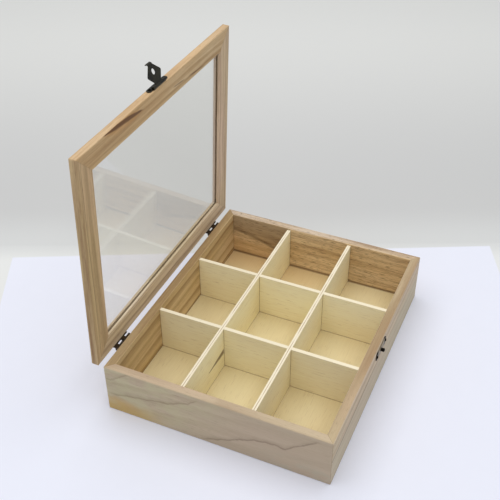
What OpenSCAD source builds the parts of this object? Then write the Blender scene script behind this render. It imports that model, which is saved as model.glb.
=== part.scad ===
// Wooden organizer box with nine cells and a glazed lid that stands open on two pinned stop hinges.
// Millimetres. +Z up, origin at the centre of the underside, front with the hasp = -Y, hinges = +Y.

/* [Box] */
// outside length along X
box_w = 290; // [240:1:360]
// outside depth along Y
box_d = 236; // [200:1:300]
// height of the walls
wall_h = 57; // [48:1:80]
// thickness of the walls
wall_t = 9; // [7:0.5:12]
// chamfer on the long edges of walls and rails
edge_c = 0.6; // [0.2:0.1:1.2]
// radius of the upright outer corners
corner_r = 1.4; // [0.5:0.1:4]
// thickness of the bottom panel
panel_t = 3; // [2:0.5:5]
// width of the rebate that the bottom panel sits in
rebate_w = 5; // [3:0.5:6]
// side clearance of the bottom panel in its rebate
panel_gap = 0.3; // [0.1:0.1:0.6]

/* [Dividers] */
// thickness of the divider boards
div_t = 4; // [3:0.5:6]
// how far the divider tops lie below the rim
div_drop = 2; // [0:0.5:10]
// clearance on each side of a board in a halving slot
slot_gap = 0.1; // [0.05:0.05:0.3]

/* [Lid] */
// thickness of the lid frame
lid_t = 7.5; // [6:0.5:12]
// width of the lid rails
rail_w = 22; // [16:1:34]
// gap between the closed lid and the rim
lid_gap = 0.1; // [0.05:0.05:0.5]
// angle at which the hinges stop the open lid
open_angle = 87.6; // [80:0.2:100]
// thickness of the glass pane
glass_t = 2; // [1.5:0.5:3]
// how far the pane enters the rails
glass_in = 4; // [2:0.5:6]
// depth of the groove in the rails
groove_d = 5; // [3:0.5:7]
// height of the groove
groove_h = 2.2; // [1.6:0.1:3.2]
// height of the pane above the lid's underside
glass_z = 2.5; // [2:0.1:4]

/* [Hinges] */
// distance of each hinge's middle from the end of the box
hinge_inset = 41.2; // [30:0.2:60]
// length of a hinge along the pin
hinge_len = 25; // [20:1:40]
// distance of the pin axis behind the back wall
hinge_back = 2.2; // [2:0.1:4]
// depth of the pin axis below the rim
hinge_drop = 3.2; // [2:0.1:5]
// outer radius of the rolled knuckles
barrel_r = 1.5; // [1.3:0.1:2]
// radius of the hinge pin
pin_r = 0.75; // [0.6:0.05:1]
// running clearance around a pin
pin_gap = 0.05; // [0.01:0.01:0.1]
// thickness of the stamped leaves
leaf_t = 0.9; // [0.6:0.1:1.2]
// distance of a leaf's outer edge from the pin axis
leaf_reach = 10; // [8:0.5:12]
// clearance between neighbouring knuckles
knuckle_gap = 0.2; // [0.1:0.05:0.5]
// clearance of a stop heel from the box leaf when the lid is open
stop_gap = 0.05; // [0.02:0.01:0.1]
// distance between the two screws of a hinge leaf
hinge_screw_x = 15; // [10:0.5:20]
// distance of the hinge screws from the pin axis
hinge_screw_z = 6.8; // [5:0.1:8]

/* [Hasp] */
// position of hasp and catch along X
hasp_x = -3.5; // [-20:0.5:20]
// length of the hasp plate
plate_len = 35; // [30:1:44]
// radius of the plates' rounded ends
plate_end_r = 2.4; // [1:0.1:3]
// distance between the two screws of a plate
plate_screw_x = 27.4; // [20:0.2:34]
// height of the hasp plate above its pin axis
hasp_plate_h = 5; // [4:0.5:6]
// height of the hasp pin above the lid's underside
hasp_rise = 1.5; // [1:0.1:3]
// distance of the hasp pin axis in front of the lid
hasp_front = 1.9; // [1.8:0.1:3]
// outer radius of the hasp knuckles
hasp_r = 1.6; // [1.3:0.1:2]
// radius of the hasp pin
hasp_pin_r = 0.7; // [0.5:0.05:1]
// length of the hasp's whole barrel
hasp_barrel = 23; // [18:1:23]
// width of the leaf's neck and knuckle
hasp_neck = 12; // [8:0.5:14]
// width of the shield
shield_w = 22.6; // [18:0.2:23.6]
// length from the pin axis to where the tip curls
shield_len = 18.5; // [17:0.5:24]
// width of the curled tip
tip_w = 7; // [4:0.5:10]
// distance of the shield's widest point from the pin axis
shield_wide = 9.9; // [9:0.1:12]
// inner radius of the curled tip
tip_r = 1.6; // [1:0.1:3]
// width of the slot in the shield
slot_w = 5.2; // [4.4:0.1:6]
// length of the slot
slot_len = 5.8; // [5.6:0.1:8]
// distance of the slot's middle from the pin axis
slot_mid = 12.2; // [11:0.1:13]
// angle by which the raised leaf leans back past square to the lid's edge
hasp_lean = 29; // [0:1:40]

/* [Catch] */
// length of the catch plate
catch_len = 31; // [30:1:44]
// depth of the catch plate's top edge below the rim
catch_drop = 4; // [2:0.5:8]
// height of the catch plate
catch_h = 9.5; // [8:0.5:14]
// depth of the stud below the rim
stud_drop = 9.9; // [8:0.1:10.5]
// radius of the stud's button
stud_r = 2.1; // [1.6:0.1:2.2]
// how far the stud stands out of the plate
stud_len = 3.8; // [3:0.1:6]

/* [Screws] */
// radius of the screw heads
head_r = 1.7; // [1:0.05:1.9]
// height of the domed heads
head_h = 1; // [0.4:0.05:1.2]
// radius of the screw shanks
shank_r = 0.65; // [0.5:0.05:0.9]
// depth of the screws in the wood
shank_len = 6; // [4:0.5:7]
// clearance of a shank in a plate's hole
hole_gap = 0.15; // [0.05:0.05:0.4]
// width of the cross recess
cross_w = 0.45; // [0.3:0.05:0.7]

/* [Hidden] */
$fn = 48;
inner_w = box_w - 2 * wall_t;
inner_d = box_d - 2 * wall_t;
cell_x = (inner_w - 2 * div_t) / 3;
cell_y = (inner_d - 2 * div_t) / 3;
cross_x = cell_x / 2 + div_t / 2;
long_y = cell_y / 2 + div_t / 2;
div_top = wall_h - div_drop;
lap_z = (panel_t + div_top) / 2;
lid_z = wall_h + lid_gap;
hinge_x = box_w / 2 - hinge_inset;
axis_y = box_d / 2 + hinge_back;
axis_z = wall_h - hinge_drop;
pitch = hinge_len / 4;
hasp_y = -box_d / 2 - hasp_front;
hasp_z = lid_z + hasp_rise;
hasp_turn = 90 + hasp_lean;
stud_z = wall_h - stud_drop;
catch_mid_z = wall_h - catch_drop - catch_h / 2;
hinge_screws = [-hinge_screw_x / 2, hinge_screw_x / 2];
plate_screws = [-plate_screw_x / 2, plate_screw_x / 2];
wood = [0.80, 0.68, 0.52];
ply = [0.86, 0.78, 0.60];
metal = [0.16, 0.13, 0.10];

// carries what is drawn for the closed lid to its open position
module open_lid() {
    translate([0, axis_y, axis_z])
        rotate([-open_angle, 0, 0])
            translate([0, -axis_y, -axis_z])
                children();
}

// plan of a box with rounded upright corners
module round_plan(w, d, r) {
    square([w - 2 * r, d], center = true);
    square([w, d - 2 * r], center = true);
    for (sx = [-1, 1])
        for (sy = [-1, 1])
            translate([sx * (w / 2 - r), sy * (d / 2 - r)])
                circle(r = r);
}

// keeps one side of a mitred frame, side = 0 front, 1 right, 2 back, 3 left
module mitre(m, side, h) {
    w = side % 2 == 0 ? box_w : box_d;
    d = side % 2 == 0 ? box_d : box_w;
    intersection() {
        linear_extrude(h)
            round_plan(box_w, box_d, corner_r);
        rotate([0, 0, 90 * side])
            linear_extrude(h)
                polygon([[-w / 2, -d / 2], [w / 2, -d / 2], [w / 2 - m, -d / 2 + m], [-w / 2 + m, -d / 2 + m]]);
        rotate([0, 0, 90 * side])
            translate([-w / 2, -d / 2, 0])
                rotate([90, 0, 90])
                    linear_extrude(w)
                        children();
    }
}

// section of a wall, outer face on the left, rebate for the bottom panel on the right
module wall_section() {
    polygon([[edge_c, 0], [wall_t - rebate_w, 0], [wall_t - rebate_w, panel_t], [wall_t, panel_t],
        [wall_t, wall_h - edge_c], [wall_t - edge_c, wall_h], [edge_c, wall_h], [0, wall_h - edge_c], [0, edge_c]]);
}

// section of a lid rail, outer edge on the left, groove for the glass on the right
module rail_section() {
    difference() {
        polygon([[edge_c, 0], [rail_w - edge_c, 0], [rail_w, edge_c], [rail_w, lid_t - edge_c],
            [rail_w - edge_c, lid_t], [edge_c, lid_t], [0, lid_t - edge_c], [0, edge_c]]);
        translate([rail_w - groove_d, glass_z])
            square([groove_d + 1, groove_h]);
    }
}

// screw along +Y into the wood, its head's seat at y = 0
module screw() {
    cap_r = (head_r * head_r + head_h * head_h) / (2 * head_h);
    rotate([-90, 0, 0])
        difference() {
            union() {
                cylinder(r = shank_r, h = leaf_t + shank_len - shank_r);
                translate([0, 0, leaf_t + shank_len - shank_r])
                    cylinder(r1 = shank_r, r2 = 0.15, h = shank_r);
                intersection() {
                    translate([0, 0, -head_h])
                        cylinder(r = head_r, h = head_h);
                    translate([0, 0, cap_r - head_h])
                        sphere(r = cap_r);
                }
            }
            for (a = [45, 135])
                rotate([0, 0, a])
                    translate([-head_r * 0.62, -cross_w / 2, -head_h - 0.1])
                        cube([head_r * 1.24, cross_w, head_h * 0.6 + 0.1]);
        }
}

// bore in the wood for such a screw, from the wood's face inward
module pilot() {
    rotate([-90, 0, 0])
        translate([0, 0, -0.1])
            cylinder(r = shank_r, h = shank_len + 0.1);
}

// hole through a plate of the leaf thickness, outer face at y = 0
module plate_hole() {
    rotate([-90, 0, 0])
        translate([0, 0, -0.2])
            cylinder(r = shank_r + hole_gap, h = leaf_t + 0.4);
}

// box body

module front_wall() {
    color(wood)
    difference() {
        mitre(wall_t, 0, wall_h) wall_section();
        for (x = plate_screws)
            translate([hasp_x + x, -box_d / 2, catch_mid_z])
                pilot();
        translate([hasp_x, -box_d / 2, stud_z])
            pilot();
    }
}

module back_wall() {
    color(wood)
    difference() {
        mitre(wall_t, 2, wall_h) wall_section();
        for (s = [-1, 1])
            for (x = hinge_screws)
                translate([s * hinge_x + x, box_d / 2, axis_z - hinge_screw_z])
                    rotate([0, 0, 180])
                        pilot();
    }
}

module left_wall() {
    color(wood)
    mitre(wall_t, 3, wall_h) wall_section();
}

module right_wall() {
    color(wood)
    mitre(wall_t, 1, wall_h) wall_section();
}

module bottom_panel() {
    w = inner_w + 2 * (rebate_w - panel_gap);
    d = inner_d + 2 * (rebate_w - panel_gap);
    color(ply)
    translate([-w / 2, -d / 2, 0])
        cube([w, d, panel_t]);
}

// dividers: the long boards are slotted from below, the cross boards from above

module long_divider() {
    translate([0, -div_t / 2, 0])
        difference() {
            translate([-inner_w / 2, 0, panel_t])
                cube([inner_w, div_t, div_top - panel_t]);
            for (s = [-1, 1])
                translate([s * cross_x - div_t / 2 - slot_gap, -1, panel_t - 1])
                    cube([div_t + 2 * slot_gap, div_t + 2, lap_z - panel_t + 1]);
        }
}

module cross_divider() {
    translate([-div_t / 2, 0, 0])
        difference() {
            translate([0, -inner_d / 2, panel_t])
                cube([div_t, inner_d, div_top - panel_t]);
            for (s = [-1, 1])
                translate([-1, s * long_y - div_t / 2 - slot_gap, lap_z])
                    cube([div_t + 2, div_t + 2 * slot_gap, div_top - lap_z + 1]);
        }
}

module divider_long_front() {
    color(ply)
    translate([0, -long_y, 0])
        long_divider();
}

module divider_long_back() {
    color(ply)
    translate([0, long_y, 0])
        long_divider();
}

module divider_cross_left() {
    color(ply)
    translate([-cross_x, 0, 0])
        cross_divider();
}

module divider_cross_right() {
    color(ply)
    translate([cross_x, 0, 0])
        cross_divider();
}

// lid

module lid_front_rail() {
    color(wood)
    open_lid()
        difference() {
            translate([0, 0, lid_z])
                mitre(rail_w, 0, lid_t) rail_section();
            for (x = plate_screws)
                translate([hasp_x + x, -box_d / 2, hasp_z + hasp_plate_h / 2])
                    pilot();
        }
}

module lid_back_rail() {
    color(wood)
    open_lid()
        difference() {
            translate([0, 0, lid_z])
                mitre(rail_w, 2, lid_t) rail_section();
            for (s = [-1, 1])
                for (x = hinge_screws)
                    translate([s * hinge_x + x, box_d / 2, axis_z + hinge_screw_z])
                        rotate([0, 0, 180])
                            pilot();
        }
}

module lid_left_rail() {
    color(wood)
    open_lid()
        translate([0, 0, lid_z])
            mitre(rail_w, 3, lid_t) rail_section();
}

module lid_right_rail() {
    color(wood)
    open_lid()
        translate([0, 0, lid_z])
            mitre(rail_w, 1, lid_t) rail_section();
}

module lid_glass() {
    w = box_w - 2 * rail_w + 2 * glass_in;
    d = box_d - 2 * rail_w + 2 * glass_in;
    color([0.75, 0.85, 0.85, 0.35])
    open_lid()
        translate([-w / 2, -d / 2, lid_z + glass_z])
            cube([w, d, glass_t]);
}

// hinges, drawn about the pin axis with the wall's back face at y = -hinge_back

// draws a section of the (y, z) plane along X
module along_x(x0, x1) {
    translate([x0, 0, 0])
        rotate([90, 0, 90])
            linear_extrude(x1 - x0)
                children();
}

// one of the four knuckles of a hinge, counted from -X
module knuckle(i) {
    along_x(-hinge_len / 2 + i * pitch + (i == 0 ? 0 : knuckle_gap / 2),
        -hinge_len / 2 + (i + 1) * pitch - (i == 3 ? 0 : knuckle_gap / 2))
        children();
}

// flat of a leaf with two rounded outer corners, from z0 away from the pin to the leaf's reach
module leaf_flat(z0, r) {
    translate([0, -hinge_back + leaf_t, 0])
        rotate([90, 0, 0])
            linear_extrude(leaf_t)
                union() {
                    translate([-hinge_len / 2, z0])
                        square([hinge_len, leaf_reach - r - z0]);
                    translate([-hinge_len / 2 + r, z0])
                        square([hinge_len - 2 * r, leaf_reach - z0]);
                    for (s = [-1, 1])
                        translate([s * (hinge_len / 2 - r), leaf_reach - r])
                            circle(r = r);
                }
}

module box_leaf() {
    difference() {
        union() {
            mirror([0, 0, 1])
                leaf_flat(barrel_r + 0.3, 1.2);
            for (i = [1, 3])
                knuckle(i)
                    difference() {
                        union() {
                            circle(r = barrel_r);
                            translate([-hinge_back + leaf_t - 0.1, -barrel_r])
                                square([hinge_back - leaf_t + 0.1, barrel_r]);
                            translate([-hinge_back, -barrel_r - 0.4])
                                square([leaf_t, barrel_r + 0.4]);
                        }
                        circle(r = pin_r);
                    }
        }
        for (x = hinge_screws)
            translate([x, -hinge_back + leaf_t, -hinge_screw_z])
                rotate([0, 0, 180])
                    plate_hole();
    }
}

// drawn for the closed lid; the heels below the knuckles meet the box leaf when the lid is open
module lid_leaf() {
    neck = hinge_drop + lid_gap - 0.7;
    difference() {
        union() {
            leaf_flat(neck, 1.2);
            for (i = [0, 2])
                knuckle(i)
                    difference() {
                        union() {
                            circle(r = barrel_r);
                            translate([-hinge_back + leaf_t - 0.1, 0])
                                square([hinge_back - leaf_t + 0.1, barrel_r]);
                            translate([-hinge_back + 0.1, 0])
                                square([leaf_t - 0.1, neck + 0.1]);
                            rotate(open_angle)
                                translate([-hinge_back + leaf_t + stop_gap, -barrel_r - 0.8])
                                    square([hinge_back - leaf_t - stop_gap, barrel_r + 0.8]);
                        }
                        circle(r = pin_r + pin_gap);
                    }
        }
        for (x = hinge_screws)
            translate([x, -hinge_back + leaf_t, hinge_screw_z])
                rotate([0, 0, 180])
                    plate_hole();
    }
}

module at_hinge(s) {
    translate([s * hinge_x, axis_y, axis_z])
        children();
}

module hinge_pin() {
    translate([-hinge_len / 2, 0, 0])
        rotate([0, 90, 0])
            cylinder(r = pin_r, h = hinge_len);
}

module leaf_screws(dir) {
    for (x = hinge_screws)
        translate([x, -hinge_back + leaf_t, dir * hinge_screw_z])
            rotate([0, 0, 180])
                screw();
}

module hinge_left_box_leaf() {
    color(metal)
    at_hinge(-1) box_leaf();
}

module hinge_left_lid_leaf() {
    color(metal)
    open_lid() at_hinge(-1) lid_leaf();
}

module hinge_left_pin() {
    color(metal)
    at_hinge(-1) hinge_pin();
}

module hinge_left_box_screws() {
    color(metal)
    at_hinge(-1) leaf_screws(-1);
}

module hinge_left_lid_screws() {
    color(metal)
    open_lid() at_hinge(-1) leaf_screws(1);
}

module hinge_right_box_leaf() {
    color(metal)
    at_hinge(1) box_leaf();
}

module hinge_right_lid_leaf() {
    color(metal)
    open_lid() at_hinge(1) lid_leaf();
}

module hinge_right_pin() {
    color(metal)
    at_hinge(1) hinge_pin();
}

module hinge_right_box_screws() {
    color(metal)
    at_hinge(1) leaf_screws(-1);
}

module hinge_right_lid_screws() {
    color(metal)
    open_lid() at_hinge(1) leaf_screws(1);
}

// hasp, drawn about its pin axis for the closed lid

// flat plate in the XZ plane with four rounded corners, its wood side at y = 0
module flat_plate(w, h, r) {
    rotate([90, 0, 0])
        linear_extrude(leaf_t)
            round_plan(w, h, r);
}

module hasp_plate() {
    out = hasp_front - leaf_t;
    color(metal)
    open_lid()
        translate([hasp_x, hasp_y, hasp_z])
            difference() {
                union() {
                    translate([0, hasp_front, hasp_plate_h / 2])
                        flat_plate(plate_len, hasp_plate_h, plate_end_r);
                    for (s = [-1, 1])
                        translate([s * (hasp_barrel + hasp_neck + knuckle_gap) / 4, 0, 0]) {
                            w = (hasp_barrel - hasp_neck - knuckle_gap) / 2;
                            translate([-w / 2, 0, 0])
                                rotate([0, 90, 0])
                                    cylinder(r = hasp_r, h = w);
                            translate([-w / 2, 0, 0])
                                cube([w, out + 0.1, hasp_r]);
                        }
                }
                translate([-hasp_neck / 2 - knuckle_gap / 2, -hasp_r, -hasp_r])
                    cube([hasp_neck + knuckle_gap, 2 * hasp_r + hasp_front, 2 * hasp_r + 0.3]);
                translate([-hasp_barrel, 0, 0])
                    rotate([0, 90, 0])
                        cylinder(r = hasp_pin_r, h = 2 * hasp_barrel);
                for (x = plate_screws)
                    translate([x, out, hasp_plate_h / 2])
                        plate_hole();
            }
}

// shield in the XZ plane, hanging from the pin axis
module shield() {
    a = shield_w / 2;
    n = hasp_neck / 2 - knuckle_gap / 2 - 0.3;
    rotate([90, 0, 0])
        translate([0, 0, -leaf_t / 2])
            linear_extrude(leaf_t)
                difference() {
                    polygon([[-n, 0], [-n, -3], [-a + 0.4, 0.9 - shield_wide], [-a, 0.3 - shield_wide],
                        [-a, -0.5 - shield_wide], [-a + 0.5, -1.3 - shield_wide], [-tip_w / 2 - 0.6, -shield_len + 0.5],
                        [-tip_w / 2, -shield_len], [tip_w / 2, -shield_len], [tip_w / 2 + 0.6, -shield_len + 0.5],
                        [a - 0.5, -1.3 - shield_wide], [a, -0.5 - shield_wide], [a, 0.3 - shield_wide],
                        [a - 0.4, 0.9 - shield_wide], [n, -3], [n, 0]]);
                    translate([0, -slot_mid]) {
                        square([slot_w, slot_len - slot_w], center = true);
                        for (s = [-1, 1])
                            translate([0, s * (slot_len - slot_w) / 2])
                                circle(r = slot_w / 2);
                    }
                }
}

// quarter of a rolled tip, curling away from the box
module curled_tip() {
    translate([0, -leaf_t / 2 - tip_r, -shield_len])
        intersection() {
            rotate([0, 90, 0])
                translate([0, 0, -tip_w / 2])
                    difference() {
                        cylinder(r = tip_r + leaf_t, h = tip_w);
                        translate([0, 0, -1])
                            cylinder(r = tip_r, h = tip_w + 2);
                    }
            translate([-tip_w, -0.8, -tip_r - leaf_t - 1])
                cube([2 * tip_w, tip_r + leaf_t + 2, tip_r + leaf_t + 1]);
        }
}

module hasp_leaf() {
    w = hasp_neck - knuckle_gap;
    out = hasp_front - leaf_t;
    color(metal)
    open_lid()
        translate([hasp_x, hasp_y, hasp_z])
            rotate([-hasp_turn, 0, 0])
                difference() {
                    union() {
                        shield();
                        curled_tip();
                        along_x(-w / 2, w / 2)
                            union() {
                                circle(r = hasp_r);
                                rotate(hasp_turn)
                                    square([out - stop_gap, hasp_r + 0.8]);
                            }
                    }
                    translate([-hasp_neck, 0, 0])
                        rotate([0, 90, 0])
                            cylinder(r = hasp_pin_r + pin_gap, h = 2 * hasp_neck);
                }
}

module hasp_pin() {
    color(metal)
    open_lid()
        translate([hasp_x - hasp_barrel / 2, hasp_y, hasp_z])
            rotate([0, 90, 0])
                cylinder(r = hasp_pin_r, h = hasp_barrel);
}

module hasp_screws() {
    color(metal)
    open_lid()
        for (x = plate_screws)
            translate([hasp_x + x, -box_d / 2 - leaf_t, hasp_z + hasp_plate_h / 2])
                screw();
}

// catch on the front wall

module catch_plate() {
    color(metal)
    difference() {
        translate([hasp_x, -box_d / 2, catch_mid_z])
            flat_plate(catch_len, catch_h, plate_end_r);
        for (x = plate_screws)
            translate([hasp_x + x, -box_d / 2 - leaf_t, catch_mid_z])
                plate_hole();
        translate([hasp_x, -box_d / 2 - leaf_t, stud_z])
            rotate([-90, 0, 0])
                translate([0, 0, -0.2])
                    cylinder(r = shank_r, h = leaf_t + 0.4);
    }
}

module catch_stud() {
    stem = stud_r * 0.88;
    color(metal)
    translate([hasp_x, -box_d / 2 - leaf_t, stud_z])
        rotate([90, 0, 0])
            union() {
                translate([0, 0, -leaf_t - shank_len])
                    cylinder(r = shank_r, h = leaf_t + shank_len + 0.5);
                cylinder(r = stem, h = stud_len - 0.8);
                intersection() {
                    translate([0, 0, stud_len - 1.7])
                        cylinder(r = stud_r, h = 1.7);
                    translate([0, 0, stud_len - stud_r * 1.25])
                        sphere(r = stud_r * 1.25);
                }
            }
}

module catch_screws() {
    color(metal)
    for (x = plate_screws)
        translate([hasp_x + x, -box_d / 2 - leaf_t, catch_mid_z])
            screw();
}

front_wall();
back_wall();
left_wall();
right_wall();
bottom_panel();
divider_long_front();
divider_long_back();
divider_cross_left();
divider_cross_right();
lid_front_rail();
lid_back_rail();
lid_left_rail();
lid_right_rail();
lid_glass();
hinge_left_box_leaf();
hinge_left_lid_leaf();
hinge_left_pin();
hinge_left_box_screws();
hinge_left_lid_screws();
hinge_right_box_leaf();
hinge_right_lid_leaf();
hinge_right_pin();
hinge_right_box_screws();
hinge_right_lid_screws();
hasp_plate();
hasp_leaf();
hasp_pin();
hasp_screws();
catch_plate();
catch_stud();
catch_screws();
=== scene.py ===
import math

import bpy
from mathutils import Matrix, Vector


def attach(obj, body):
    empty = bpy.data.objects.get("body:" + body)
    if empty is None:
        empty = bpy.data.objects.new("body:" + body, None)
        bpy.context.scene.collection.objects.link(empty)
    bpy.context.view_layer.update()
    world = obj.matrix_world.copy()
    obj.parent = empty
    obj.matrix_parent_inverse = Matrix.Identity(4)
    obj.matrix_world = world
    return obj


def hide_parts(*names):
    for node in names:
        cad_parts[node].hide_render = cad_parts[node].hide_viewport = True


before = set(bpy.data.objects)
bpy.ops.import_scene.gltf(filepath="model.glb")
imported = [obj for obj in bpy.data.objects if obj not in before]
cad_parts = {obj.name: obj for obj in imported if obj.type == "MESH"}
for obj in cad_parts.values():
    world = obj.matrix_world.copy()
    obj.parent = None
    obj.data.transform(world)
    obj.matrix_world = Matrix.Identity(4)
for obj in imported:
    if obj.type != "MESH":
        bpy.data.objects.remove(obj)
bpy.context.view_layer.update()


# Walls of the box
#
# Four boards of a pale, light wood like paulownia, planed, left bare and glued in mitres.
# The near end wall is greyish with three thin brown year lines, the back wall has broad soft
# stripes inside, and the far end wall is browner, with short dark fibres.


def paint(red, green, blue):
    """A colour given as it is seen on a screen, 0 to 255, as the linear colour that a shader takes."""
    seen = [v / 255 for v in (red, green, blue)]
    return [v / 12.92 if v <= 0.04045 else ((v + 0.055) / 1.055) ** 2.4 for v in seen] + [1.0]


class Wire:
    """The output of a shader node. Wires add, subtract, multiply and divide like numbers."""

    def __init__(self, socket):
        self.socket = socket

    def node(self, kind, inputs, out=0, **settings):
        """Adds any node to this wire's tree, with its settings and the values or wires of its sockets."""
        tree = self.socket.id_data
        made = tree.nodes.new(kind)
        for name, value in settings.items():
            setattr(made, name, value)
        for name, value in inputs.items():
            if isinstance(value, Wire):
                tree.links.new(value.socket, made.inputs[name])
            else:
                made.inputs[name].default_value = value
        return Wire(made.outputs[out])

    def maths(self, operation, *others):
        """A Math node on this wire and what it is worked out with."""
        return self.node("ShaderNodeMath", dict(enumerate((self,) + others)), operation=operation)

    def __add__(self, other):
        return self.maths("ADD", other)

    __radd__ = __add__

    def __sub__(self, other):
        return self.maths("SUBTRACT", other)

    def __rsub__(self, other):
        return self.node("ShaderNodeMath", {0: other, 1: self}, operation="SUBTRACT")

    def __mul__(self, other):
        return self.maths("MULTIPLY", other)

    __rmul__ = __mul__

    def __truediv__(self, other):
        return self.maths("DIVIDE", other)

    def __pow__(self, other):
        return self.maths("POWER", other)

    def __abs__(self):
        return self.maths("ABSOLUTE")

    def rise(self, low, high):
        """0 below low, 1 above high, and smooth between them."""
        return self.node(
            "ShaderNodeMapRange",
            {"Value": self, "From Min": low, "From Max": high},
            interpolation_type="SMOOTHSTEP",
        )

    def between(self, low, high, soft):
        """1 from low to high, and 0 a little way outside them."""
        return self.rise(low - soft, low + soft) * (1 - self.rise(high - soft, high + soft))

    def follow(self, *points):
        """The height of a line that runs straight from point to point, each given as (here, height)."""
        height = points[0][1]
        for (here, low), (there, high) in zip(points, points[1:]):
            height = height + self.node(
                "ShaderNodeMapRange",
                {"Value": self, "From Min": here, "From Max": there, "To Max": high - low},
            )
        return height

    def point(self, y, z):
        """A point with this wire as its X."""
        return self.node("ShaderNodeCombineXYZ", {"X": self, "Y": y, "Z": z})

    def noise(self, scale, detail, rough=0.5):
        """Soft noise about 0.5 at this point."""
        return self.node(
            "ShaderNodeTexNoise", {"Vector": self, "Scale": scale, "Detail": detail, "Roughness": rough}
        )

    def blend(self, one, other):
        """The first colour where this wire is 0 and the other where it is 1."""
        return self.node(
            "ShaderNodeMix", {0: self, 6: one, 7: other}, out=2, data_type="RGBA", clamp_factor=True
        )

    def times(self, red, green, blue):
        """This colour with its three parts scaled."""
        return self.node("ShaderNodeVectorMath", {0: self, 1: (red, green, blue)}, operation="MULTIPLY")


def new_finish(name):
    """An empty material with its main shader, and the place on the object in metres."""
    material = bpy.data.materials.new(name)
    material.use_nodes = True
    tree = material.node_tree
    shader = tree.nodes["Principled BSDF"]
    place = Wire(tree.nodes.new("ShaderNodeTexCoord").outputs["Object"])
    return material, shader, place


def plug(value, socket):
    """Leads a wire into a shader's socket."""
    socket.id_data.links.new(value.socket, socket)


def on_board(place, middle, along, across):
    """Millimetres along a board's grain, across its face and through it, from the board's middle."""
    u, v = Vector(along).normalized(), Vector(across).normalized()
    w = u.cross(v)
    from_middle = place.node(
        "ShaderNodeVectorMath", {0: place, 1: Vector(middle) / 1000}, operation="SUBTRACT"
    )
    return [
        from_middle.node(
            "ShaderNodeVectorMath", {0: from_middle, 1: axis * 1000}, out=1, operation="DOT_PRODUCT"
        )
        for axis in (u, v, w)
    ]


def sawn_wood(
    name,
    middle,
    along,
    across,
    pale,
    other_pale,
    dark,
    heart,
    ring,
    figure,
    streak,
    lean,
    seed,
    joint,
    fine=0.4,
    pores=0.25,
    wander=8.0,
    edge=None,
    marks=None,
):
    """Wood cut from a log: year rings about the log's heart, which lies heart mm from the board's middle,
    long soft streaks, fibres and pores, a top edge made lighter or darker by edge, which on the lid's back
    rail is a painted highlight, and what marks and joint draw."""
    material, shader, place = new_finish(name)
    u, v, w = on_board(place, middle, along, across)
    drift = (u * 0.0045 + seed).point(v * 0.012, w * 0.012).noise(1.0, 3.0, 0.55) - 0.5
    side = v - heart[0] + u * lean + drift * (wander * 2.5)
    depth = w - heart[1] + drift * wander
    years = (side * side + depth * depth) ** 0.5 / ring + seed
    turn = years.maths("FRACT")
    late = turn.rise(0.15, 0.8) * (1 - turn.rise(0.84, 1.0))
    year = years.maths("FLOOR")
    year = year.node("ShaderNodeTexWhiteNoise", {"W": year}, noise_dimensions="1D")
    slow = (u * 0.006 - seed).point(v * 0.03, w * 0.03).noise(1.0, 2.0)
    band = (u * 0.005 - seed).point(v * 0.2 + drift * 3.0, w * 0.2).noise(1.0, 3.0, 0.6)
    fibre = (u * 0.02 + seed).point(v * 0.9, w * 0.9).noise(1.0, 4.0, 0.6)
    hair = (u * 0.11 + seed).point(v * 3.2, w * 3.2).noise(1.0, 2.0, 0.55)
    pore = (u * 0.16 - seed).point(v * 2.1, w * 2.1).noise(1.0, 0.0).rise(0.62, 0.8)
    tone = 0.28 + figure * (late * (0.35 + 0.65 * year) - 0.25)
    tone = tone + streak * (band - 0.5) + fine * (fibre - 0.5) + fine * 0.6 * (hair - 0.5)
    ground = slow.rise(0.38, 0.62).blend(pale, other_pale)
    colour = tone.blend(ground, dark)
    colour = (pore * pores).blend(colour, [0.4 * c for c in dark[:3]] + [1.0])
    for mark, shade in marks(u, v, w, fibre) if marks else ():
        colour = mark.blend(colour, shade)
    # The top edge's colour is scaled here; on the lid's back rail this is a painted highlight on the lip
    # that faces up.
    if edge:
        top, lift = edge
        colour = v.rise(top - 0.15, top - 0.03).blend(colour, colour.times(*lift))
    colour = joint(place).blend(colour, paint(84, 60, 40))
    plug(colour, shader.inputs["Base Color"])
    plug(0.5 + 0.22 * fibre + 0.1 * late, shader.inputs["Roughness"])
    shader.inputs["Specular IOR Level"].default_value = 0.35
    relief = 0.45 * fibre + 0.35 * hair - 0.5 * pore - 0.2 * late
    bump = relief.node("ShaderNodeBump", {"Strength": 0.3, "Distance": 0.0002, "Height": relief})
    plug(bump, shader.inputs["Normal"])
    return material


def finish(node, material):
    """Gives a CAD node its finish."""
    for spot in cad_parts[node].material_slots:
        spot.material = material


box_w, box_d, wall_h, wall_t = 290.0, 236.0, 57.0, 9.0
end_x, side_y, half_h = (box_w - wall_t) / 2, (box_d - wall_t) / 2, wall_h / 2

# The walls show a line of glue and painted shade where the floor and the dividers meet them.
floor_t, div_t, div_top = 3.0, 4.0, 55.0
cross_x = ((box_w - 2 * wall_t - 2 * div_t) / 3 + div_t) / 2
long_y = ((box_d - 2 * wall_t - 2 * div_t) / 3 + div_t) / 2


def box_mitre(place):
    """The thin glue line where two walls meet in a mitre."""
    x, y = [place.node("ShaderNodeSeparateXYZ", {0: place}, out=i) * 1000 for i in range(2)]
    off = abs((box_w / 2 - abs(x)) - (box_d / 2 - abs(y)))
    return 0.45 * (1 - off.rise(0.05, 0.4))


def low_face(w):
    """1 on the face of a wall where w is least, and 0 on its other face."""
    return 1 - w.rise(0.1 - wall_t / 2, 0.5 - wall_t / 2)


def high_face(w):
    """1 on the face of a wall where w is most, and 0 on its other face."""
    return w.rise(wall_t / 2 - 0.5, wall_t / 2 - 0.1)


def year_line(v, path, thick, soft):
    """A thin dark line along a path, with a soft shade above it."""
    gap = v - path
    line = (1 - abs(gap).rise(thick * 0.2, thick)) * 0.6
    return line + gap.rise(-thick, 0.0) * (1 - gap.rise(0.0, soft)) * 0.4


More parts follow.
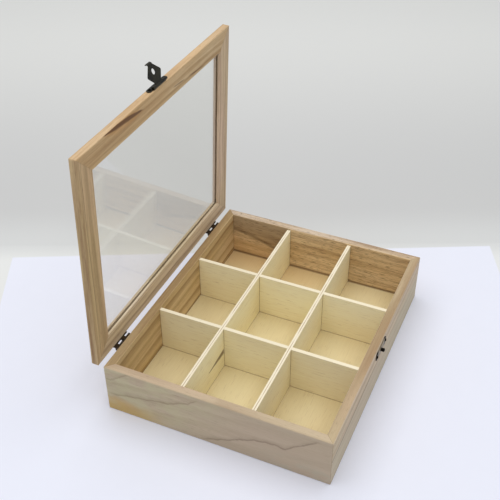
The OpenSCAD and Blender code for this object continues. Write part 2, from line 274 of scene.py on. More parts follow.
def glue_and_shade_lines(u, v, inner, boards, foot=1.0):
    """A thin brown line of glue and painted shade where the floor and the dividers' ends meet a wall's
    inner face.
    """
    floor_v, div_top_v = floor_t - half_h, div_top - half_h
    line = 1 - v.rise(floor_v + foot, floor_v + foot + 0.6)
    for middle in boards:
        side = 1 - abs(abs(u - middle) - div_t / 2).rise(0.15, 0.6)
        line = line.maths("MAXIMUM", side * (1 - v.rise(div_top_v - 0.1, div_top_v + 0.1)))
    return inner * line * 0.6, paint(88, 58, 32)


def end_wall_marks(u, v, w, fibre):
    """The near end wall's outer face: three wandering year lines, an olive cast high on its back half, a
    pink one on its front half, a grey one low at the front corner and a yellow stain low at the back."""
    outer = low_face(w)
    waver = (fibre - 0.5) * 3.0 + ((u * 0.09).point(v * 0.05, 0.0).noise(1.0, 2.0) - 0.5) * 5.0
    upper = u.follow((16, 26), (26, 17), (48, 7.5), (68, 3.5), (108, -5.5)) + waver
    lower = u.follow(
        (-104, 24.5),
        (-94, 16),
        (-82, 7.5),
        (-72, -1),
        (-62, 1.5),
        (-42, -2.5),
        (-27, -9),
        (-9, -17.5),
        (13, -26),
    )
    corner = u.follow((91, 28), (112, 13.5)) + waver
    upper_line = year_line(v, upper, 1.7, 7.0) * u.between(18.0, 112.0, 6.0)
    lower_line = year_line(v, lower + waver, 1.6, 6.0) * u.between(-103.0, 11.0, 6.0)
    corner_line = year_line(v, corner, 1.6, 5.0) * u.rise(86.0, 92.0)
    cloud = (u * 0.035).point(v * 0.07, 0.0).noise(1.0, 3.0, 0.6)
    stain = (u + cloud * 60.0 - 30.0).rise(40.0, 100.0) * (1 - (v + cloud * 30.0).rise(-8.0, 12.0))
    olive = (u + v).rise(-30.0, 60.0) * cloud.rise(0.35, 0.65)
    pink = 1 - u.rise(-60.0, 40.0)
    grey = (1 - u.rise(-90.0, -20.0)) * (1 - v.rise(-24.0, 0.0)) * cloud.rise(0.4, 0.7)
    return [
        (outer * pink * 0.6, paint(187, 167, 146)),
        (outer * olive * 0.6, paint(196, 188, 150)),
        (outer * grey * 0.6, paint(180, 176, 156)),
        # Lines of glue and painted shade on the inner face, at the floor and the dividers.
        glue_and_shade_lines(u, v, 1 - outer, (-long_y, long_y)),
        (outer * stain * 0.75, paint(196, 160, 88)),
        (outer * upper_line * 0.36, paint(116, 92, 62)),
        (outer * lower_line * 0.42, paint(96, 74, 56)),
        (outer * corner_line * 0.3, paint(112, 84, 60)),
    ]


def far_wall_marks(u, v, w, fibre):
    """The far end wall's inner face in the back cell: grey-brown above, lighter below, and a dark line
    that falls away from the back corner."""
    inner = low_face(w)
    fall = u.follow((54, -6), (82, 4), (109, 9)) + (fibre - 0.5) * 7.0
    cell = inner * u.rise(34.0, 37.0)
    dusky = cell * (v - fall).rise(-2.0, 10.0) * 0.55
    glow = cell * (1 - (v - fall).rise(-16.0, -3.0)) * 0.4
    streak = cell * year_line(v, fall, 4.0, 10.0) * u.rise(38.0, 60.0) * 0.6
    return [
        (dusky, paint(138, 116, 92)),
        (glow, paint(224, 186, 132)),
        (streak, paint(92, 64, 40)),
        # Lines of glue and painted shade at the floor and the dividers, wider at the foot.
        glue_and_shade_lines(u, v, inner, (-long_y, long_y), foot=1.9),
    ]


def back_wall_marks(u, v, w, fibre):
    """The back wall's inner face is plain but for the lines of glue and painted shade at the floor and
    dividers.
    """
    return [glue_and_shade_lines(u, v, high_face(w), (-cross_x, cross_x))]


def front_wall_marks(u, v, w, fibre):
    """The front wall's outer face: two thin level lines, pinkish above them and greenish grey below.
    Its rim is browner at the catch, where fingers take hold."""
    outer = high_face(w)
    waver = (fibre - 0.5) * 2.5
    below = outer * (1 - v.rise(0.0, 12.0)) * 0.5
    first = outer * year_line(v, u.follow((-145, 3), (-28, 7)) + waver, 1.6, 4.0)
    second = outer * year_line(v, u.follow((-145, 18.5), (0, 20.5), (145, 16)) + waver, 1.0, 3.0)
    at_catch = u.rise(-70.0, -30.0) * (1 - u.rise(20.0, 60.0))
    rubbed = v.rise(half_h - 0.3, half_h - 0.1) * at_catch * (0.1 + 0.3 * fibre)
    return [
        (rubbed, paint(160, 122, 84)),
        (below, paint(188, 180, 156)),
        (first * (1 - u.rise(-50.0, 10.0)) * 0.62, paint(106, 84, 62)),
        (second * 0.3, paint(126, 98, 74)),
        # Lines of glue and painted shade on the inner face, at the floor and the dividers.
        glue_and_shade_lines(u, v, 1 - outer, (-cross_x, cross_x)),
    ]


finish(
    "left_wall",
    sawn_wood(
        "near_end_wood",
        (-end_x, 0, half_h),
        (0, 1, 0),
        (0, 0, 1),
        pale=paint(204, 185, 159),
        other_pale=paint(198, 183, 155),
        dark=paint(156, 134, 110),
        heart=(-150.0, 24.0),
        ring=14.0,
        figure=0.2,
        streak=0.7,
        lean=0.12,
        wander=14.0,
        seed=3.1,
        edge=(half_h, (1.08, 1.03, 0.99)),
        marks=end_wall_marks,
        joint=box_mitre,
    ),
)
finish(
    "right_wall",
    sawn_wood(
        "far_end_wood",
        (end_x, 0, half_h),
        (0, 1, 0),
        (0, 0, 1),
        pale=paint(234, 209, 170),
        other_pale=paint(226, 196, 150),
        dark=paint(158, 124, 88),
        heart=(-70.0, 40.0),
        ring=9.0,
        figure=0.25,
        streak=1.3,
        fine=1.8,
        pores=0.85,
        lean=-0.04,
        seed=7.7,
        edge=(half_h, (0.92, 0.97, 1.16)),
        marks=far_wall_marks,
        joint=box_mitre,
    ),
)
finish(
    "back_wall",
    sawn_wood(
        "back_wood",
        (0, side_y, half_h),
        (1, 0, 0),
        (0, 0, 1),
        pale=paint(222, 197, 154),
        other_pale=paint(214, 186, 136),
        dark=paint(150, 114, 72),
        heart=(-148.2, 10.0),
        ring=13.5,
        figure=0.65,
        streak=1.0,
        fine=0.7,
        lean=0.0,
        wander=5.0,
        seed=1.4,
        edge=(half_h, (0.74, 0.7, 0.66)),
        marks=back_wall_marks,
        joint=box_mitre,
    ),
)
finish(
    "front_wall",
    sawn_wood(
        "front_wood",
        (0, -side_y, half_h),
        (1, 0, 0),
        (0, 0, 1),
        pale=paint(218, 196, 170),
        other_pale=paint(212, 196, 166),
        dark=paint(164, 134, 102),
        heart=(-90.0, 40.0),
        ring=12.0,
        figure=0.3,
        streak=0.9,
        lean=0.03,
        seed=5.2,
        edge=(half_h, (0.83, 0.78, 0.68)),
        marks=front_wall_marks,
        joint=box_mitre,
    ),
)


# Bottom panel
#
# Thin cream plywood, set in a rebate in the walls from below. Its top is the floor of the
# nine cells, and its grain runs along the box.

div_half_h = (div_top - floor_t) / 2


def veneer(name, middle, along, across, pale, dark, seed, fine=0.6, boards=(), edges=None, marks=None):
    """Cream face veneer of plywood: faint wide figure and fine fibres, a thin line of glue and painted
    shade along each board that stands against it and along its foot, what marks draws, and what edges
    shows on its cut edge."""
    material, shader, place = new_finish(name)
    u, v, w = on_board(place, middle, along, across)
    drift = (u * 0.004 + seed).point(v * 0.012, seed).noise(1.0, 2.0) - 0.5
    figure = ((v + drift * 70.0) / 13.0 + seed).maths("SINE") * 0.5 + 0.5
    fibre = (u * 0.018 + seed).point(v * 0.8, w * 0.8).noise(1.0, 4.0, 0.6)
    hair = (u * 0.12 + seed).point(v * 2.8, w * 2.8).noise(1.0, 2.0)
    cloud = (u * 0.012).point(v * 0.02, w * 0.02 + seed).noise(1.0, 2.0)
    fleck = (u * 0.09 - seed).point(v * 1.7, w * 1.7).noise(1.0, 0.0).rise(0.68, 0.82)
    tone = 0.1 + figure**2.0 * 0.18 + 0.7 * (cloud - 0.5)
    tone = tone + fine * (fibre - 0.5) + fine * 0.5 * (hair - 0.5)
    colour = tone.maths("MAXIMUM", 0.0).blend(pale, dark)
    colour = (fleck * fine * 0.5).blend(colour, paint(150, 108, 64))
    # Lines of glue and painted shade where other boards meet this one and along its foot.
    if boards:
        line = 1 - v.rise(0.6 - div_half_h, 1.2 - div_half_h)
        for board in boards:
            line = line.maths("MAXIMUM", 1 - abs(abs(u - board) - div_t / 2).rise(0.15, 0.6))
        colour = (line * 0.55).blend(colour, paint(120, 84, 44))
    for mark, shade in marks(u, v, w, fibre) if marks else ():
        colour = mark.blend(colour, shade)
    if edges:
        colour = edges(u, v, w, fibre, colour)
    plug(colour, shader.inputs["Base Color"])
    plug(0.52 + 0.2 * fibre, shader.inputs["Roughness"])
    shader.inputs["Specular IOR Level"].default_value = 0.35
    relief = 0.5 * fibre + 0.4 * hair - 0.4 * fleck
    bump = relief.node("ShaderNodeBump", {"Strength": 0.3, "Distance": 0.00018, "Height": relief})
    plug(bump, shader.inputs["Normal"])
    return material


def floor_painted_light_and_glue(u, v, w, fibre):
    """The floor is painted a warmer brown towards the far end and the back wall, as painted shade and warm
    light thrown back from the far wall, and a line of glue and painted shade runs along the far end."""
    return [
        # Painted shade and painted warm reflected light towards the far end and the back wall.
        (u.rise(70.0, 125.0) * v.rise(-90.0, 60.0) * 0.55, paint(208, 168, 112)),
        # A line of glue with painted shade where the floor meets the far end wall.
        (u.rise(134.0, 135.2) * 0.5, paint(110, 76, 42)),
    ]


finish(
    "bottom_panel",
    veneer(
        "floor_veneer",
        (0, 0, floor_t / 2),
        (1, 0, 0),
        (0, 1, 0),
        pale=paint(229, 214, 170),
        dark=paint(198, 173, 122),
        seed=2.6,
        fine=0.4,
        marks=floor_painted_light_and_glue,
    ),
)


# Dividers
#
# Four boards of the same pale plywood, 4 mm thick, halved into each other where they cross.
# The long ones show the dark middle layer along their top edge, the cross ones do not. One
# long board has a torn place in its veneer, in the near middle cell.


def top_edge(v):
    """1 on a divider's top edge, and 0 on its faces."""
    return v.rise(div_half_h - 0.7, div_half_h - 0.4)


def layered_edge(u, v, w, fibre, face):
    """Two light layers and a thin dark one between them on a long divider's top edge."""
    patchy = (u * 0.05).point(7.0, 0.0).noise(1.0, 2.0)
    off_core = abs(w + (fibre - 0.5) * 0.6 + (patchy - 0.5) * 0.8)
    core = (1 - off_core.rise(0.15, 0.7)) * patchy.rise(0.25, 0.6)
    bare = (0.4 * fibre).blend(paint(253, 244, 220), paint(224, 200, 154))
    return top_edge(v).blend(face, (core * 0.6).blend(bare, paint(150, 112, 68)))


def plain_edge(u, v, w, fibre, face):
    """The white wood of a cross divider's top edge."""
    bare = (0.45 * fibre).blend(paint(251, 242, 216), paint(222, 198, 150))
    return top_edge(v).blend(face, bare)


def torn_patch(u, v, w, fibre):
    """A dark wedge in the veneer that widens towards the crossing board."""
    half = 0.4 + u.follow((-86, 0.0), (-50, 4.2))
    inside = 1 - (abs(v + 4.0 + (fibre - 0.5) * 3.0) / half).rise(0.3, 1.1)
    front = w.rise(div_t / 2 - 0.4, div_t / 2 - 0.1)
    return [(inside * u.between(-84.0, -49.0, 1.5) * front * 0.78, paint(88, 56, 26))]


div_z = (floor_t + div_top) / 2

# A divider's ends meet the walls too, so these are drawn like one more board as thick as it is.
at_ends = box_w / 2 - wall_t + div_t / 2
at_sides = box_d / 2 - wall_t + div_t / 2

for node, y, seed, marks in (
    ("divider_long_front", -long_y, 4.3, None),
    ("divider_long_back", long_y, 8.8, torn_patch),
):
    finish(
        node,
        veneer(
            node + "_veneer",
            (0, y, div_z),
            (1, 0, 0),
            (0, 0, 1),
            pale=paint(254, 246, 210),
            dark=paint(228, 206, 156),
            seed=seed,
            boards=(-at_ends, -cross_x, cross_x, at_ends),
            edges=layered_edge,
            marks=marks,
        ),
    )
for node, x, seed in (
    ("divider_cross_left", -cross_x, 6.1),
    ("divider_cross_right", cross_x, 9.4),
):
    finish(
        node,
        veneer(
            node + "_veneer",
            (x, 0, div_z),
            (0, 1, 0),
            (0, 0, 1),
            pale=paint(254, 246, 212),
            dark=paint(228, 206, 158),
            seed=seed,
            boards=(-at_sides, -long_y, long_y, at_sides),
            edges=plain_edge,
        ),
    )


# Lid frame
#
# Four rails of the same light wood, mitred, grooved inside for the pane. The lid stands open
# on its hinges, so its boards are measured up along the raised lid from the hinge pin.

rail_w, lid_t, lid_gap = 22.0, 7.5, 0.1
pin_back, pin_drop = 2.2, 3.2
open_angle = math.radians(87.6)

# The pin lies behind the back wall and below its rim.
pin = Vector((0.0, box_d / 2 + pin_back, wall_h - pin_drop))
lid_up = Vector((0.0, -math.cos(open_angle), math.sin(open_angle)))
lid_out = Vector((0.0, math.sin(open_angle), math.cos(open_angle)))
middle_up = box_d / 2 + pin_back
middle_out = pin_drop + lid_gap + lid_t / 2
rail_x, rail_up = (box_w - rail_w) / 2, (box_d - rail_w) / 2


def on_lid(x, up):
    """A point in the middle of the open lid's thickness: mm along X, and up from the lid's middle."""
    return pin + Vector((x, 0.0, 0.0)) + lid_up * (middle_up + up) + lid_out * middle_out


def lid_mitre(place):
    """The thin glue line where two rails meet in a mitre."""
    x, up = on_board(place, on_lid(0.0, 0.0), (1, 0, 0), lid_up)[:2]
    off = abs((box_w / 2 - abs(x)) - (box_d / 2 - abs(up)))
    return 0.25 * (1 - off.rise(0.05, 0.4))


def rail_knot(u, v, w, fibre):
    """The rail at the hasp, inner side: a long brown knot streak that falls from the upper edge with a
    paler orange border, and small dark slashes beside the pane."""
    inner = w.rise(lid_t / 2 - 0.45, lid_t / 2 - 0.15)
    fall = u.follow((-104, 11.5), (-70, 8.0), (-36, 3.0)) + (fibre - 0.5) * 2.0
    thick = 0.6 + u.follow((-104, 0.4), (-84, 2.4), (-62, 2.2), (-36, 0.1)) * (0.5 + fibre)
    gap = abs(v - fall) / thick
    knot = (1 - gap.rise(0.5, 1.3)) * u.between(-103.0, -38.0, 4.0)
    glow = (1 - gap.rise(1.0, 3.0)) * u.between(-100.0, -44.0, 8.0)
    slash = 1 - abs(v - u.follow((20, -2.5), (44, -4.5), (85, -8.0)) + (fibre - 0.5) * 2.0).rise(0.2, 0.9)
    slash = slash * (u.between(22.0, 42.0, 3.0) + u.between(54.0, 84.0, 5.0) * 0.8)
    return [
        (inner * glow * 0.45, paint(196, 142, 80)),
        (inner * knot * 0.85, paint(92, 56, 32)),
        (inner * slash * 0.8, paint(92, 58, 34)),
    ]


def middle_streak(u, v, w, fibre):
    """A darker olive streak along the middle of the near side rail, and a thin brown line beside it."""
    bend = (u * 0.021).maths("SINE") * 1.5 + (fibre - 0.5) * 3.0
    centre = 1 - abs(v - 2.0 + bend).rise(0.5, 4.0)
    thin = 1 - abs(v + 5.0 + bend * 0.6).rise(0.1, 0.7)
    return [(centre * 0.4, paint(126, 98, 58)), (thin * 0.5, paint(104, 72, 42))]


def finish_rail(node, middle, along, across, **look):
    """Gives a rail its wood, which is streakier, finer and straighter than the walls'."""
    wood = sawn_wood(
        node + "_wood", middle, along, across, fine=1.0, lean=0.01, wander=3.0, joint=lid_mitre, **look
    )
    finish(node, wood)


finish_rail(
    "lid_front_rail",
    on_lid(0.0, rail_up),
    (1, 0, 0),
    lid_up,
    pale=paint(214, 188, 148),
    other_pale=paint(206, 174, 130),
    dark=paint(156, 118, 74),
    heart=(-60.0, 30.0),
    ring=7.0,
    figure=0.45,
    streak=1.8,
    seed=2.2,
    edge=(rail_w / 2, (1.0, 1.0, 1.05)),
    marks=rail_knot,
)
finish_rail(
    "lid_back_rail",
    on_lid(0.0, -rail_up),
    (1, 0, 0),
    lid_up,
    pale=paint(228, 206, 178),
    other_pale=paint(218, 196, 160),
    dark=paint(152, 122, 92),
    heart=(-40.0, 46.0),
    ring=6.0,
    figure=0.45,
    streak=2.0,
    seed=6.4,
    # The lip beside the pane, which faces up, is painted lighter as a painted highlight.
    edge=(rail_w / 2, (1.1, 1.15, 1.15)),
)
finish_rail(
    "lid_left_rail",
    on_lid(-rail_x, 0.0),
    lid_up,
    (1, 0, 0),
    pale=paint(212, 182, 144),
    other_pale=paint(198, 172, 128),
    dark=paint(138, 104, 72),
    heart=(60.0, 22.0),
    ring=6.5,
    figure=0.5,
    streak=2.2,
    seed=11.3,
    marks=middle_streak,
)
finish_rail(
    "lid_right_rail",
    on_lid(rail_x, 0.0),
    lid_up,
    (1, 0, 0),
    pale=paint(218, 192, 166),
    other_pale=paint(210, 188, 154),
    dark=paint(152, 116, 92),
    heart=(70.0, 26.0),
    ring=6.0,
    figure=0.5,
    streak=2.2,
    seed=13.9,
)


# Pane
#
# Clear float glass, 2 mm thick, held in the grooves of the rails. It mirrors more the more
# it is seen from the side, and takes away a little light.

clear_glass, shader, place = new_finish("clear_glass")
tree = clear_glass.node_tree
tree.nodes.remove(shader)
film = place.noise(14.0, 3.0)
slant = place.node("ShaderNodeLayerWeight", {"Blend": 0.5}, out=1)
mirrored = 0.05 + 0.93 * slant**5.0 + 0.012 * film
mirror = place.node("ShaderNodeBsdfGlossy", {"Color": (0.97, 0.97, 0.95, 1.0), "Roughness": 0.02})
clear = place.node("ShaderNodeBsdfTransparent", {"Color": (0.952, 0.952, 0.943, 1.0)})
pane = place.node("ShaderNodeMixShader", {0: mirrored, 1: clear, 2: mirror})
plug(pane, tree.nodes["Material Output"].inputs["Surface"])
finish("lid_glass", clear_glass)


# Hinges
#
# Two small stop hinges between box and lid, each of two leaves stamped and rolled from thin
# steel about a pin, with a dark bronze finish rubbed a little brighter in places.


def bronze(name, seed, deep, light, shine, dull=0.34, gleam=0.5, painted_reflection=None):
    """Dark bronze plating: brown-black with olive clouds and fine pits under a thin lacquer, and painted
    lighter as a painted reflection where a mask is given."""
    material, shader, place = new_finish(name)
    cloud = place.noise(160.0 + seed, 3.0, 0.6)
    pit = place.noise(900.0 + seed, 2.0, 0.6)
    colour = cloud.rise(0.35, 0.7).blend(deep, light)
    colour = pit.rise(0.6, 0.75).blend(colour, [0.45 * c for c in deep[:3]] + [1.0])
    if painted_reflection:
        # Where the mask says, the metal is painted lighter as a painted reflection.
        colour = painted_reflection(place, cloud).blend(colour, paint(150, 136, 112))
    plug(colour, shader.inputs["Base Color"])
    shader.inputs["Metallic"].default_value = 0.75
    shader.inputs["Specular IOR Level"].default_value = gleam
    shader.inputs["Coat Weight"].default_value = shine
    shader.inputs["Coat Roughness"].default_value = 0.2
    plug(dull + 0.22 * cloud + 0.12 * pit, shader.inputs["Roughness"])
    relief = pit * 0.6 + cloud * 0.4
    bump = relief.node("ShaderNodeBump", {"Strength": 0.25, "Distance": 0.0001, "Height": relief})
    plug(bump, shader.inputs["Normal"])
    return material


hinge_bronze = bronze("hinge_bronze", 0.0, paint(42, 30, 18), paint(72, 56, 34), shine=0.3)
for side in ("left", "right"):
    for part in ("box_leaf", "lid_leaf", "pin"):
        finish("hinge_" + side + "_" + part, hinge_bronze)


# Hasp
#
# A plate with two knuckles on the lid's front edge, and the slotted shield that swings down
# from it over the catch's stud. The same bronze, darker.

hasp_bronze = bronze("hasp_bronze", 11.0, paint(26, 23, 15), paint(50, 47, 30), shine=0.3)
for node in ("hasp_plate", "hasp_leaf", "hasp_pin"):
    finish(node, hasp_bronze)


# Catch
#
# A long narrow plate on the front wall with a round stud that the shield's slot drops over.
# The plate's middle is painted lighter, a painted reflection of the pale table. Its ends under the screws
# stay dark.

hasp_x = -3.5


def painted_reflection_middle(place, cloud):
    """1 beside the stud, where the plate gets a painted reflection of the pale table, and 0 at its ends.
    """
    x = place.node("ShaderNodeSeparateXYZ", {0: place}) * 1000
    return (1 - (abs(x - hasp_x) + cloud * 2.0).rise(10.4, 12.0)) * 0.9


# The catch plate's middle gets a painted reflection of the pale table.
catch_bronze = bronze(
    "catch_bronze", 23.0, paint(26, 21, 14), paint(48, 40, 28), shine=0.1, painted_reflection=painted_reflection_middle
)
finish("catch_plate", catch_bronze)
stud_bronze = bronze(
    "stud_bronze", 31.0, paint(18, 14, 10), paint(34, 28, 20), shine=0.0, dull=0.5, gleam=0.2
)
finish("catch_stud", stud_bronze)


# Screws
#
# Twelve small round-head screws with a cross recess, in the same dark bronze: two in each
# hinge leaf, two in the hasp plate and two in the catch plate. Each is turned its own way.

screw_sizes = {
    "Head radius": 1.7,
    "Head height": 1.0,
    "Shank radius": 0.65,
    "Shank length": 6.0,
    "Recess width": 0.45,
}


def screw_tree():
    """Geometry Nodes that put a screw on every point of a mesh, facing along its 'facing' attribute."""
    tree = bpy.data.node_groups.new("screws", "GeometryNodeTree")
    sockets = tree.interface
    sockets.new_socket("Geometry", in_out="INPUT", socket_type="NodeSocketGeometry")
    for label, size in screw_sizes.items():
        sockets.new_socket(label, in_out="INPUT", socket_type="NodeSocketFloat").default_value = size
    sockets.new_socket("Finish", in_out="INPUT", socket_type="NodeSocketMaterial")
    sockets.new_socket("Geometry", in_out="OUTPUT", socket_type="NodeSocketGeometry")
    start = tree.nodes.new("NodeGroupInput")
    end = tree.nodes.new("NodeGroupOutput")

    def add(kind, inputs, out=0, **settings):
        """Adds a node, with its settings and the values or sockets that its inputs take."""
        made = tree.nodes.new(kind)
        for name, value in settings.items():
            setattr(made, name, value)
        for name, value in inputs.items():
            for one in value if isinstance(value, list) else [value]:
                if isinstance(one, bpy.types.NodeSocket):
                    tree.links.new(one, made.inputs[name])
                else:
                    made.inputs[name].default_value = one
        return made.outputs[out]

    def maths(operation, a, b):
        return add("ShaderNodeMath", {0: a, 1: b}, operation=operation)

    given = {s.name: s for s in start.outputs}
    spread = add(
        "ShaderNodeCombineXYZ",
        {"X": given["Head radius"], "Y": given["Head radius"], "Z": given["Head height"]},
    )

    # The head is the upper half of a flattened ball, closed by pressing the lower half flat.
    ball = add("GeometryNodeMeshUVSphere", {"Segments": 32, "Rings": 16, "Radius": 1.0})
    dome = add("GeometryNodeTransform", {"Geometry": ball, "Scale": spread})
    at = add("GeometryNodeInputPosition", {})
    x, y, z = [add("ShaderNodeSeparateXYZ", {0: at}, out=i) for i in range(3)]
    flat = add("ShaderNodeCombineXYZ", {"X": x, "Y": y, "Z": maths("MAXIMUM", z, 0.0)})
    head = add("GeometryNodeSetPosition", {"Geometry": dome, "Position": flat})
    head = add("GeometryNodeMergeByDistance", {"Geometry": head, "Distance": 0.002})

    # Two crossed bars are cut from the head's crown as its recess.
    arm = add(
        "ShaderNodeCombineXYZ",
        {
            "X": maths("MULTIPLY", given["Head radius"], 1.24),
            "Y": given["Recess width"],
            "Z": given["Head height"],
        },
    )
    lift = add("ShaderNodeCombineXYZ", {"Z": maths("MULTIPLY", given["Head height"], 0.95)})
    bar = add("GeometryNodeMeshCube", {"Size": arm})
    cuts = [
        add("GeometryNodeTransform", {"Geometry": bar, "Translation": lift, "Rotation": (0.0, 0.0, turn)})
        for turn in (0.0, math.pi / 2)
    ]
    head = add(
        "GeometryNodeMeshBoolean", {"Mesh 1": head, "Mesh 2": cuts}, operation="DIFFERENCE", solver="EXACT"
    )

    # The shank tapers to a blunt tip below the head.
    shank = add(
        "GeometryNodeMeshCone",
        {
            "Vertices": 16,
            "Side Segments": 6,
            "Radius Top": given["Shank radius"],
            "Radius Bottom": maths("MULTIPLY", given["Shank radius"], 0.3),
            "Depth": given["Shank length"],
        },
    )
    drop = add("ShaderNodeCombineXYZ", {"Z": maths("MULTIPLY", given["Shank length"], -1.0)})
    shank = add("GeometryNodeTransform", {"Geometry": shank, "Translation": drop})
    screw = add("GeometryNodeJoinGeometry", {"Geometry": [head, shank]})

    # Each screw is aimed out of its leaf, turned at random and brought from mm to metres.
    facing = add("GeometryNodeInputNamedAttribute", {"Name": "facing"}, data_type="FLOAT_VECTOR")
    aim = add("FunctionNodeAlignRotationToVector", {"Vector": facing}, axis="Z")
    spin = add("FunctionNodeRandomValue", {2: 0.0, 3: math.pi, "Seed": 7}, out=1, data_type="FLOAT")
    twist = add("FunctionNodeAxisAngleToRotation", {"Axis": (0.0, 0.0, 1.0), "Angle": spin})
    turned = add(
        "FunctionNodeRotateRotation", {"Rotation": aim, "Rotate By": twist}, rotation_space="LOCAL"
    )
    placed = add(
        "GeometryNodeInstanceOnPoints",
        {
            "Points": given["Geometry"],
            "Instance": screw,
            "Rotation": turned,
            "Scale": (0.001, 0.001, 0.001),
        },
    )
    real = add("GeometryNodeRealizeInstances", {"Geometry": placed})
    done = add("GeometryNodeSetMaterial", {"Geometry": real, "Material": given["Finish"]})
    tree.links.new(done, end.inputs["Geometry"])
    return tree


driven = screw_tree()
screw_bronze = bronze(
    "screw_bronze", 41.0, paint(14, 11, 8), paint(30, 24, 18), shine=0.0, dull=0.5, gleam=0.2
)


def drive_screws(name, body, seats, stands_for):
    """One mesh of screws: each seat is the point under a head and the way the head faces, in mm."""
    points = bpy.data.meshes.new(name + "_seats")
    points.from_pydata([seat / 1000 for seat, facing in seats], [], [])
    ways = points.attributes.new("facing", "FLOAT_VECTOR", "POINT")
    for spot, (seat, facing) in zip(ways.data, seats):
        spot.vector = facing
    carrier = bpy.data.objects.new(name, points)
    bpy.context.scene.collection.objects.link(carrier)
    modifier = carrier.modifiers.new("screws", "NODES")
    modifier.node_group = driven
    for item in driven.interface.items_tree:
        if item.name == "Finish":
            modifier[item.identifier] = screw_bronze
    bpy.context.view_layer.update()
    solid = bpy.data.meshes.new_from_object(
        carrier.evaluated_get(bpy.context.evaluated_depsgraph_get())
    )
    carrier.modifiers.remove(modifier)
    carrier.data = solid
    solid.name = name
    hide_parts(*stands_for)
    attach(carrier, body)


hinge_x, hinge_screw_x, hinge_screw_z = 103.8, 7.5, 6.8
plate_screw_x, catch_z, hasp_z = 13.7, 48.25, 61.1
leaf_t = 0.9

leaf_y = box_d / 2 + leaf_t
leaf_xs = [s * hinge_x + x for s in (-1, 1) for x in (-hinge_screw_x, hinge_screw_x)]
plate_xs = [hasp_x - plate_screw_x, hasp_x + plate_screw_x]
backwards, forwards = Vector((0, 1, 0)), Vector((0, -1, 0))
opening = Matrix.Rotation(-open_angle, 3, "X")


def opened(x, y, z):
    """Where a point of the closed lid is when the lid is open."""
    return pin + opening @ (Vector((x, y, z)) - pin)


box_seats = [(Vector((x, leaf_y, pin.z - hinge_screw_z)), backwards) for x in leaf_xs]
box_seats += [(Vector((x, -leaf_y, catch_z)), forwards) for x in plate_xs]
lid_seats = [(opened(x, leaf_y, pin.z + hinge_screw_z), opening @ backwards) for x in leaf_xs]
lid_seats += [(opened(x, -leaf_y, hasp_z), opening @ forwards) for x in plate_xs]
drive_screws(
    "box_screws",
    "box",
    box_seats,
    ("hinge_left_box_screws", "hinge_right_box_screws", "catch_screws"),
)
drive_screws(
    "lid_screws",
    "lid",
    lid_seats,
    ("hinge_left_lid_screws", "hinge_right_lid_screws", "hasp_screws"),
)


# Camera
#
# It stands above and in front of the box's near left end, as for the photograph. Its place,
# turn and lens were fitted to the box's straight edges.

azimuth, elevation, roll = math.radians(204.149), math.radians(37.833), math.radians(-0.347)
aim_at = Vector((0.112443, 0.076826, 0.030))
distance = 1.02313
focal_px, picture_px, sensor = 862.398, 500, 36.0

out = Vector(
    (
        math.cos(elevation) * math.cos(azimuth),
        math.cos(elevation) * math.sin(azimuth),
        math.sin(elevation),
    )
)
stand = aim_at + out * distance
right = (-out).cross(Vector((0, 0, 1))).normalized()
up = right.cross(-out)
right, up = (
    right * math.cos(roll) + up * math.sin(roll),
    up * math.cos(roll) - right * math.sin(roll),
)
lens = bpy.data.cameras.new("camera")
lens.sensor_width = sensor
lens.lens = focal_px / picture_px * sensor
lens.clip_start = 0.01
camera = bpy.data.objects.new("camera", lens)
camera.matrix_world = Matrix(
    [[right[i], up[i], out[i], stand[i]] for i in range(3)] + [[0, 0, 0, 1]]
)
bpy.context.scene.collection.objects.link(camera)
bpy.context.scene.camera = camera


# Table
#
# The box stands on a big sheet of white paper. The paper ends a little behind the box, and
# beyond a narrow lighter strip of the table the ground is light grey, with painted shade that is
# darkest a little way behind the box and fades lighter far away.

half_table = 4

# The paper's far and left edges run through points given as (aside, reach) and (reach, aside):
# metres to the right of the box's middle and away from the camera.
paper_far = (-0.3165, 0.1595), (0.2752, 0.1768)
paper_left = (0.0723, -0.3123), (0.1595, -0.3165)
paper_right, paper_near = 0.275, -0.262
table_end = 0.186

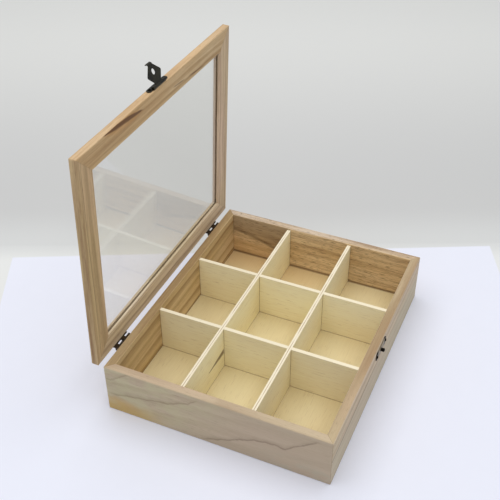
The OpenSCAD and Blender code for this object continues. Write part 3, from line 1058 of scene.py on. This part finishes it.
ground = bpy.data.meshes.new("table")
corners = [(x * half_table, y * half_table, 0) for x, y in ((-1, -1), (1, -1), (1, 1), (-1, 1))]
ground.from_pydata(corners, [], [(0, 1, 2, 3)])
table = bpy.data.objects.new("table", ground)
bpy.context.scene.collection.objects.link(table)
paper, shader, place = new_finish("paper_and_ground")
away = Vector((-out[0], -out[1], 0)).normalized()
reach = place.node("ShaderNodeVectorMath", {0: place, 1: away}, out=1, operation="DOT_PRODUCT")
aside = place.node(
    "ShaderNodeVectorMath", {0: place, 1: (away.y, -away.x, 0)}, out=1, operation="DOT_PRODUCT"
)
grain = place.noise(40.0, 2.0)
ripple = place.noise(3.0, 1.0)
inside = (aside.follow(*paper_far) - reach + ripple * 0.002).rise(-0.0015, 0.0015)
inside = inside * (aside - reach.follow(*paper_left)).rise(-0.001, 0.001)
inside = inside * (paper_right - aside).rise(-0.001, 0.001) * (reach - paper_near).rise(-0.001, 0.001)
strip = reach.rise(0.15, table_end).blend(paint(232, 233, 231), paint(218, 219, 218))
# Painted shade on the ground: darkest just beyond the strip, behind the box, lighter far away.
beyond = reach.rise(0.185, 0.27).blend(paint(214, 215, 214), paint(203, 203, 202))
beyond = reach.rise(0.29, 0.85).blend(beyond, paint(227, 227, 224))
floor = (reach + ripple * 0.004).rise(table_end - 0.003, table_end + 0.003).blend(strip, beyond)
floor = inside.blend(floor, paint(236, 238, 250))
floor = (grain * 0.05).blend(floor, paint(204, 204, 208))
plug(floor, shader.inputs["Base Color"])
shader.inputs["Roughness"].default_value = 0.75
shader.inputs["Specular IOR Level"].default_value = 0.2
ground.materials.append(paper)


# Lamps
#
# One large soft lamp hangs overhead and a little behind the box, aimed at its foot. The room
# is pale all round.

room = bpy.data.worlds.new("room")
bpy.context.scene.world = room
room.use_nodes = True
walls = room.node_tree.nodes["Background"]
walls.inputs["Color"].default_value = (0.93, 0.96, 1.0, 1.0)
walls.inputs["Strength"].default_value = 0.53

soft = bpy.data.lights.new("overhead", "AREA")
soft.shape = "RECTANGLE"
soft.size, soft.size_y = 2.2, 2.2
soft.energy = 23.8
soft.color = (1.0, 0.985, 0.96)
hang_at = Vector((0.0, 0.1, 1.7))
overhead = bpy.data.objects.new("overhead", soft)
overhead.matrix_world = (
    Matrix.Translation(hang_at) @ (-hang_at).to_track_quat("-Z", "Y").to_matrix().to_4x4()
)
bpy.context.scene.collection.objects.link(overhead)

bpy.context.scene.view_settings.view_transform = "Standard"
